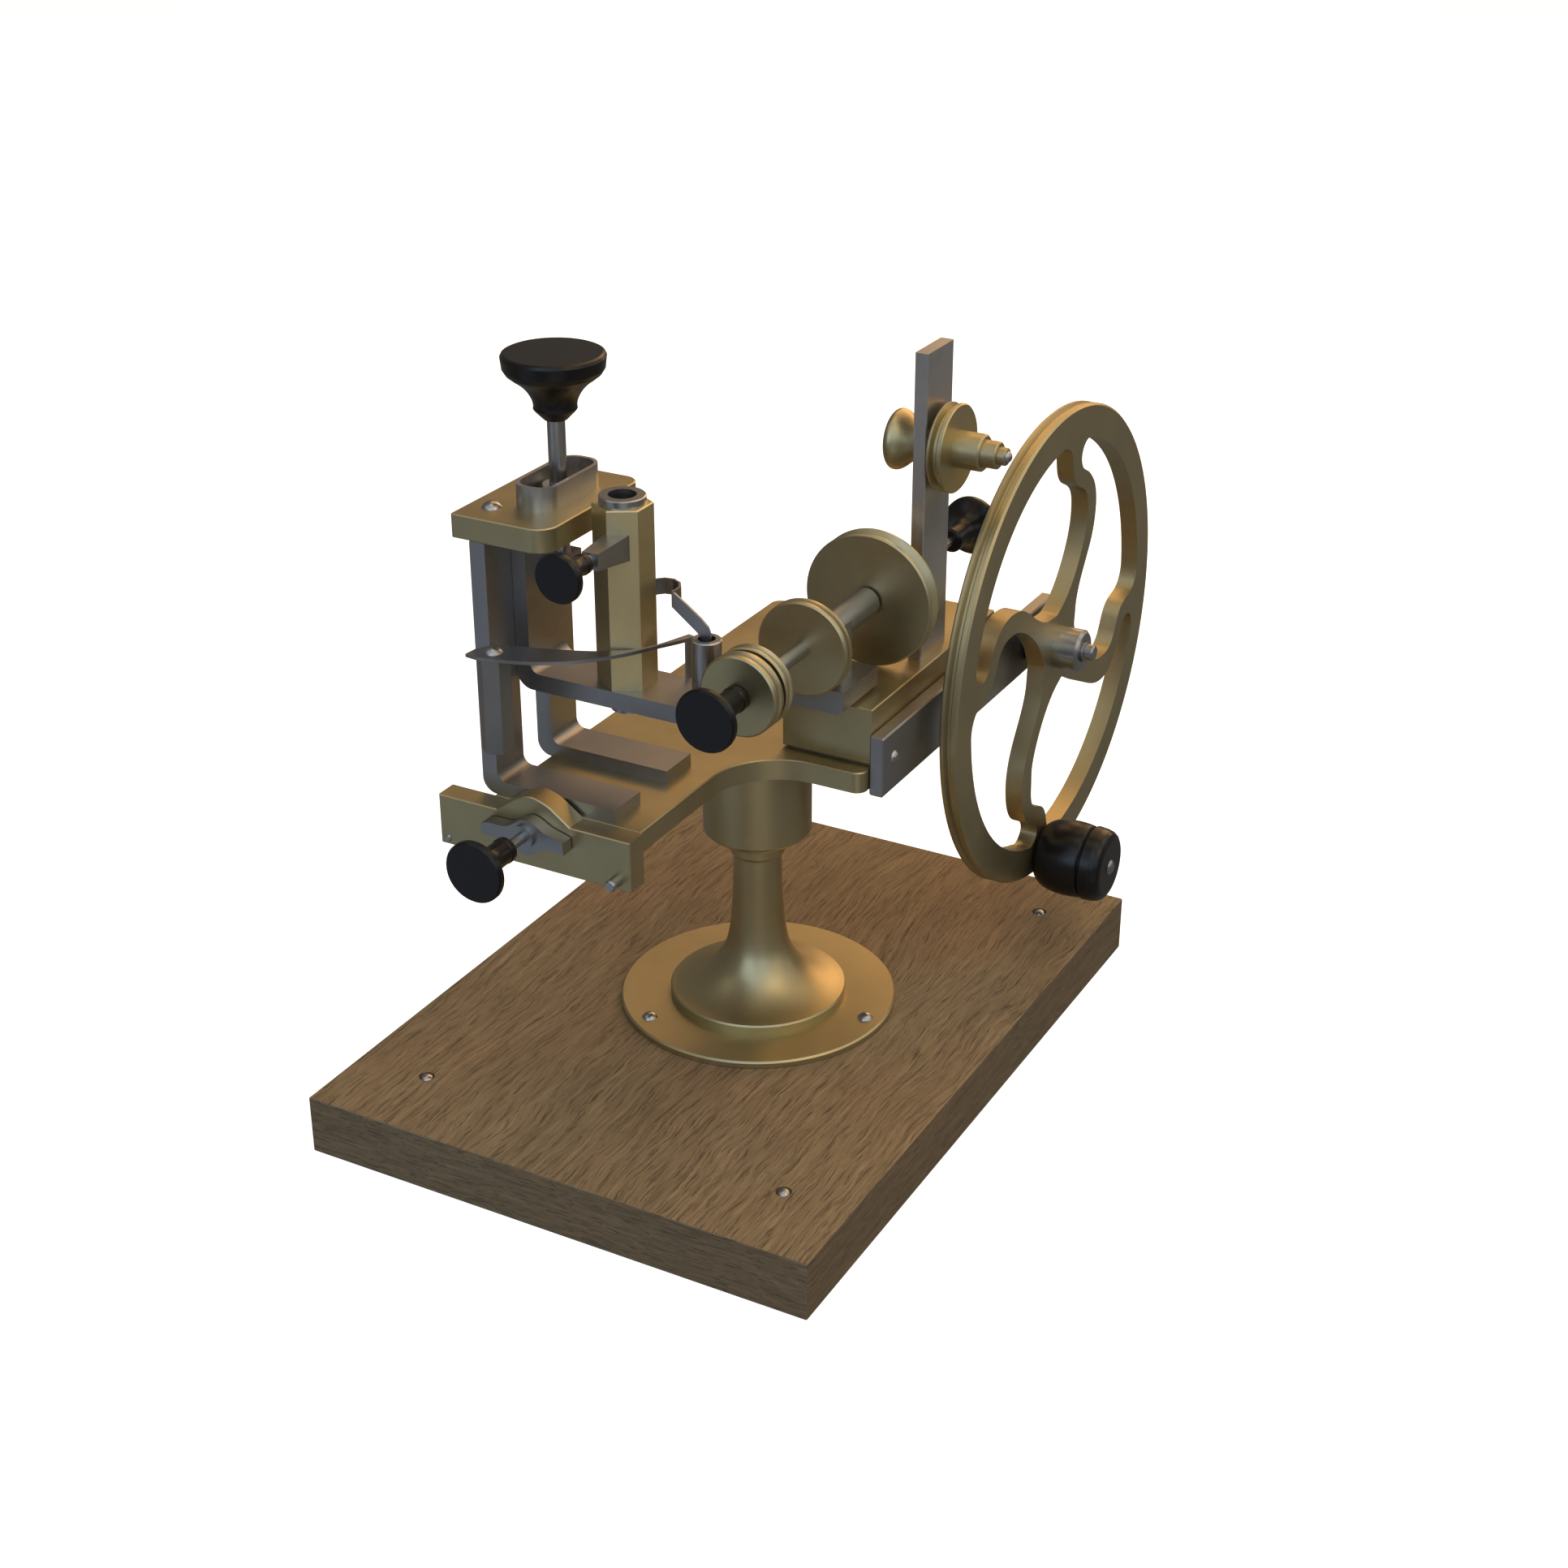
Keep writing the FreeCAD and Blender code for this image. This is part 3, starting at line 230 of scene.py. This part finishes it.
def oak_board(name):
    """Oiled brown oak: fine wavy fibres, short pores, soft bands, warm patches, and painted shade on the
    long side faces and end faces (on the end faces partly the end grain's own darker tone).
    """
    s = Shader(name, IOR=1.45)
    end_face = faces(s, "Y")
    long_side = faces(s, "X")
    along = along_the_fibres(s, end_face)
    bent = waved(s, along)
    fibres = s.noise(1, 4, 0.62, s.stretched((1500, 105, 1500), bent))
    strands = s.noise(1, 3, 0.55, s.stretched((560, 26, 560), bent))
    pores = s.noise(1, 3, 0.65, s.stretched((1700, 70, 1700), bent))
    bands = s.noise(1, 3, 0.5, s.stretched((46, 3.6, 46), bent))
    patches = s.noise(9, 2, 0.5, along)
    base = s.ramp(
        s.sum(s.sum(fibres, 0.5, "MULTIPLY"), s.sum(strands, 0.5, "MULTIPLY")),
        (0.34, (0.145, 0.101, 0.054)),
        (0.46, (0.232, 0.164, 0.088)),
        (0.56, (0.290, 0.208, 0.114)),
        (0.68, (0.385, 0.284, 0.163)),
    )
    banded = s.mix(s.span(bands, 0.0, 0.35, 0.46, 0.72), base, (0.160, 0.112, 0.064))
    warm = s.mix(s.span(patches, 0.0, 0.6, 0.42, 0.72), banded, (1.12, 0.90, 0.80), "MULTIPLY")
    pore_mask = s.span(pores, 0.0, 0.85, 0.555, 0.62)
    grain = s.mix(pore_mask, warm, (0.085, 0.056, 0.031))
    # Painted shade: the long side faces go 46% and the end faces 34% towards dark brown so they look less
    # lit; on the end faces part of this is the end grain's own darker tone.
    side_shade_and_end_grain = s.sum(s.sum(long_side, 0.46, "MULTIPLY"), s.sum(end_face, 0.34, "MULTIPLY"))
    s.feed("Base Color", s.mix(side_shade_and_end_grain, grain, (0.098, 0.070, 0.042)))
    s.feed("Roughness", s.span(fibres, 0.50, 0.66))
    relief = s.sum(fibres, s.sum(pore_mask, -0.5, "MULTIPLY"))
    s.feed("Normal", s.bump(relief, 0.30, 0.0003))
    return s.mat


BRASS = (0.495, 0.42, 0.245)
STEEL = (0.36, 0.355, 0.36)
TURNED_STEEL = (0.41, 0.405, 0.41)
POST_STEEL = (0.62, 0.61, 0.61)
AXIS = {"x": 0, "y": 1, "z": 2}
# Brushing runs along the direction with the small factor.
BRUSHED = {"x": (0.08, 1, 1), "y": (1, 0.08, 1), "z": (1, 1, 0.08)}
TURNED_STEEL_PARTS = {
    "x": ("wheel_boss", "axle_stud", "axle_screw", "crank_pin", "crank_rivet", "idler_stud", "idler_washer",
          "bar_screws"),
    "y": ("spindle_shaft", "feed_shaft", "clamp_stud", "lock_stud", "bar_pins"),
    "z": ("press_shaft", "shaft_bush", "quill", "tool_tube", "base_screws", "flange_screws", "plate_screws",
          "blade_screw", "bracket_screws"),
}


def dress(material, *names):
    """Gives CAD nodes a material."""
    for name in names:
        for slot in nodes[name].material_slots:
            slot.material = material


def middle(name):
    """The centre of a node's box."""
    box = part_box(name)
    return (box[LOW] + box[HIGH]) / 2


def dress_brass():
    dress(satin_metal("brass_plate", BRASS, 0.40, BRUSHED["y"]), "table_plate", "slide_block", "top_plate")
    dress(satin_metal("brass_bar", BRASS, 0.40, BRUSHED["x"]), "front_bar")
    # Painted light: the hexagon sleeve gets the plain brass made 1.35 times lighter, standing in for light
    # that the lamps don't give its faces.
    dress(satin_metal("brass_hexagon_painted_light", shade(BRASS, 1.35), 0.40, BRUSHED["z"]), "hex_sleeve")
    for name in ("foot_flange", "column", "table_hub"):
        dress(turned_metal("brass_" + name, BRASS, 0.42, middle("column"), AXIS["z"]), name)
    for name in ("big_pulley", "medium_pulley", "small_rear_pulley", "small_front_pulley"):
        dress(turned_metal("brass_" + name, BRASS, 0.38, middle(name), AXIS["y"]), name)
    for name in ("flywheel", "idler_pulley", "idler_knob"):
        dress(turned_metal("brass_" + name, BRASS, 0.40, middle(name), AXIS["x"]), name)


def dress_steel():
    upright = satin_metal("steel_upright", STEEL, 0.40, BRUSHED["z"])
    dress(upright, "bracket_front", "bracket_rear", "slide_bracket", "hanging_rod", "blade_stay")
    dress(satin_metal("steel_ring", shade(STEEL, 1.3), 0.38, BRUSHED["z"]), "guide_ring")
    dress(satin_metal("steel_post", POST_STEEL, 0.36, BRUSHED["z"]), "post")
    flat = satin_metal("steel_flat", STEEL, 0.40, BRUSHED["y"])
    dress(flat, "axle_bar", "bearing_block", "clamp_block", "slide_lug", "block_shim")
    dress(satin_metal("steel_sheet", STEEL, 0.36, (0.1, 1, 1)), "blade", "leaf_spring", "wing_nut")
    for axis, names in TURNED_STEEL_PARTS.items():
        for name in names:
            dress(turned_metal("steel_" + name, TURNED_STEEL, 0.30, middle(name), AXIS[axis]), name)


def dress_rest():
    black = polished_black("black_knob")
    dress(black, "press_knob", "feed_knob", "clamp_knob", "spindle_knob", "lock_knob")
    dress(black, "crank_handle", "crank_cap")
    dress(oak_board("oak_board"), "base_board")


# ---------------------------------------------------------------- stage, lights and camera

def make_floor():
    """A plain pale floor that takes the object's shadow but doesn't tint or mirror in the metal."""
    mesh = bpy.data.meshes.new("floor")
    half = 6.0
    corners = [(-half, -half, 0), (half, -half, 0), (half, half, 0), (-half, half, 0)]
    mesh.from_pydata(corners, [], [(0, 1, 2, 3)])
    floor = bpy.data.objects.new("floor", mesh)
    bpy.context.scene.collection.objects.link(floor)
    s = Shader("pale_floor", Roughness=0.9, Emission_Color=(1, 1, 1, 1), Emission_Strength=0.80)
    s.feed("Base Color", s.ramp(s.noise(3, 2, 0.5), (0.3, (0.90, 0.90, 0.90)), (0.7, (0.93, 0.93, 0.93))))
    mesh.materials.append(s.mat)
    floor.visible_glossy = False
    floor.visible_diffuse = False
    floor.visible_shadow = False


def make_world():
    """Dim, even, slightly warm light from all sides."""
    world = bpy.data.worlds.new("studio")
    bpy.context.scene.world = world
    world.use_nodes = True
    background = world.node_tree.nodes["Background"]
    background.inputs["Color"].default_value = (0.15, 0.145, 0.135, 1)
    background.inputs["Strength"].default_value = 1.0


COOL = (0.60, 0.77, 1.0)
BLUE = (0.52, 0.72, 1.0)
NEUTRAL = (1.0, 0.96, 0.88)
WARM = (1.0, 0.84, 0.60)
AMBER = (1.0, 0.58, 0.245)
# Soft panels round the object: name, bearing from the front and height in degrees, watts, colour.
PANELS = (
    ("front_low", 0, 22, 8.5, COOL),
    ("front_right_low", 45, 22, 5.5, COOL),
    ("right_low", 90, 22, 3.4, NEUTRAL),
    ("back_right_low", 135, 22, 3.2, NEUTRAL),
    ("back_low", 180, 22, 12.5, AMBER),
    ("front_high", 15, 50, 5.5, COOL),
    ("right_high", 75, 50, 7.6, WARM),
    ("back_right_high", 135, 50, 6.2, WARM),
    ("back_high", 195, 50, 7.0, AMBER),
    ("left_high", 315, 50, 2.6, NEUTRAL),
    ("top", 0, 88, 5.6, WARM),
    ("under_front_left", 332, -24, 1.3, BLUE),
    ("under_front_right", 34, -22, 1.2, NEUTRAL),
)
PANEL_SIZE = (1.3, 1.1)
PANEL_DISTANCE = 2.2
AIM = Vector((0, 0, 0.16))


def direction(bearing, height):
    """Unit vector at a bearing from the front, turning to the right, and a height, in radians."""
    flat = math.cos(height)
    return Vector((math.sin(bearing) * flat, -math.cos(bearing) * flat, math.sin(height)))


def make_panel(name, bearing, height, power, colour):
    """A soft rectangular light, facing the middle of the object."""
    data = bpy.data.lights.new(name, "AREA")
    data.shape = "RECTANGLE"
    data.size, data.size_y = PANEL_SIZE
    data.energy = power
    data.color = colour
    light = bpy.data.objects.new(name, data)
    bpy.context.scene.collection.objects.link(light)
    light.location = AIM + PANEL_DISTANCE * direction(math.radians(bearing), math.radians(height))
    light.rotation_mode = "QUATERNION"
    light.rotation_quaternion = (AIM - light.location).to_track_quat("-Z", "Y")


CAMERA_BEARING = 28.495     # degrees to the right of the front
CAMERA_HEIGHT = 26.572      # degrees that it looks down
CAMERA_PLACE = (0.438758, -0.772672, 0.566034)
SENSOR_WIDTH = 36.0         # millimetres
FOCAL_LENGTH = 56.96


def make_camera():
    """Seen from the front right, a little above: the board's near corner points at the viewer."""
    back = direction(math.radians(CAMERA_BEARING), math.radians(CAMERA_HEIGHT))
    data = bpy.data.cameras.new("camera")
    data.sensor_width = SENSOR_WIDTH
    data.lens = FOCAL_LENGTH
    data.clip_start = 0.01
    camera = bpy.data.objects.new("camera", data)
    bpy.context.scene.collection.objects.link(camera)
    camera.location = CAMERA_PLACE
    camera.rotation_mode = "QUATERNION"
    camera.rotation_quaternion = (-back).to_track_quat("-Z", "Y")
    bpy.context.scene.camera = camera


def main():
    bpy.context.scene.view_settings.view_transform = "Standard"
    make_camera()
    make_floor()
    make_world()
    for panel in PANELS:
        make_panel(*panel)
    dress_brass()
    dress_steel()
    dress_rest()


main()
